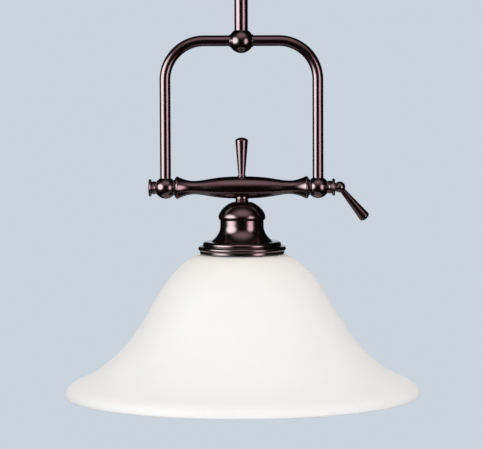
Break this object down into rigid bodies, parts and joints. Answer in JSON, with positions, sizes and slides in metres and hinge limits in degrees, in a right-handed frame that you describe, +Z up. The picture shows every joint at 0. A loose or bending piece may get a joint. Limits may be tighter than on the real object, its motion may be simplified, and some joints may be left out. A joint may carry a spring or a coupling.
{
  "type": "pendant ceiling light",
  "caption": "Bell-shaped opal glass shade hung from a turned crossbar that pivots in a bent tube yoke, on a stem under a round canopy with a ball swivel.",
  "frame": {"origin": "centre of the canopy rim, in the plane of the ceiling, which is also the middle of the strap's screw slots", "axes": "+Z up, +X towards the angled clamp lever, +Y to the back; the light hangs below z = 0"},
  "size_m": [0.3566, 0.3564, 0.734],
  "materials": {
    "bronze_lacquer": "gloss lacquer over oil-rubbed bronze",
    "zinc_steel": "zinc plated",
    "green_screw": "satin green",
    "brass": "bright",
    "aged_brass": "darkened",
    "polished_washer": "polished",
    "lead_sleeve": "woven sleeve",
    "soft_ring": "matte",
    "opal_glass": "satin etched opal",
    "fibre": "pressed fibre",
    "phenolic": "moulded",
    "bulb_frost": "frosted",
    "bulb_cap": "rolled",
    "black_insulator": "black glass"
  },
  "bodies": {
    "ceiling_mount": {"mounting_strap": "zinc_steel", "canopy_tube": "brass", "strap_nut": "zinc_steel", "earth_screw": "green_screw", "canopy": "bronze_lacquer", "canopy_nut": "bronze_lacquer", "swivel_nut": "zinc_steel", "canopy_lead": "lead_sleeve"},
    "swivel": {"swivel_ball": "bronze_lacquer"},
    "yoke": {"stem_tongue": "bronze_lacquer", "swivel_screws": "aged_brass", "stem": "bronze_lacquer", "yoke_hub": "bronze_lacquer", "left_arm": "bronze_lacquer", "right_arm": "bronze_lacquer", "left_ball": "bronze_lacquer", "right_ball": "bronze_lacquer", "yoke_lead": "lead_sleeve"},
    "shade_head": {"crossbar": "bronze_lacquer", "left_pivot": "brass", "right_pivot": "brass", "left_washer": "polished_washer", "right_washer": "polished_washer", "left_finial": "bronze_lacquer", "right_finial": "bronze_lacquer", "lever_washer": "polished_washer", "drop_tube": "brass", "neck_ring": "bronze_lacquer", "dome_cap": "bronze_lacquer", "shade_holder": "bronze_lacquer", "holder_nut": "zinc_steel", "glass_gasket": "soft_ring", "glass_shade": "opal_glass", "fibre_washer": "fibre", "shade_ring": "phenolic", "socket_body": "phenolic", "screw_shell": "brass", "socket_contact": "brass", "crossbar_lead": "lead_sleeve", "bulb_glass": "bulb_frost", "bulb_base": "bulb_cap", "bulb_insulator": "black_insulator", "bulb_contact": "bulb_cap"},
    "clamp_handle": {"clamp_ball": "bronze_lacquer", "clamp_lever": "bronze_lacquer"},
    "top_handle": {"top_lever": "bronze_lacquer"}
  },
  "joints": [
    {"name": "swivel_turn", "type": "hinge", "parent": "ceiling_mount", "child": "swivel", "pos_m": [0, 0, -0.04915], "axis": [0, 0, 1], "range_deg": [-170, 170]},
    {"name": "stem_swing", "type": "hinge", "parent": "swivel", "child": "yoke", "pos_m": [0, 0, -0.04915], "axis": [1, 0, 0], "range_deg": [-45, 45]},
    {"name": "shade_tilt", "type": "hinge", "parent": "yoke", "child": "shade_head", "pos_m": [0, 0, -0.52465], "axis": [1, 0, 0], "range_deg": [-45, 45]},
    {"name": "clamp_lever_turn", "type": "hinge", "parent": "shade_head", "child": "clamp_handle", "pos_m": [0.0981, 0, -0.52465], "axis": [1, 0, 0], "range_deg": [0, 360]},
    {"name": "top_lever_turn", "type": "hinge", "parent": "shade_head", "child": "top_handle", "pos_m": [0, 0, -0.52465], "axis": [0, 0, 1], "range_deg": [0, 360]}
  ]
}
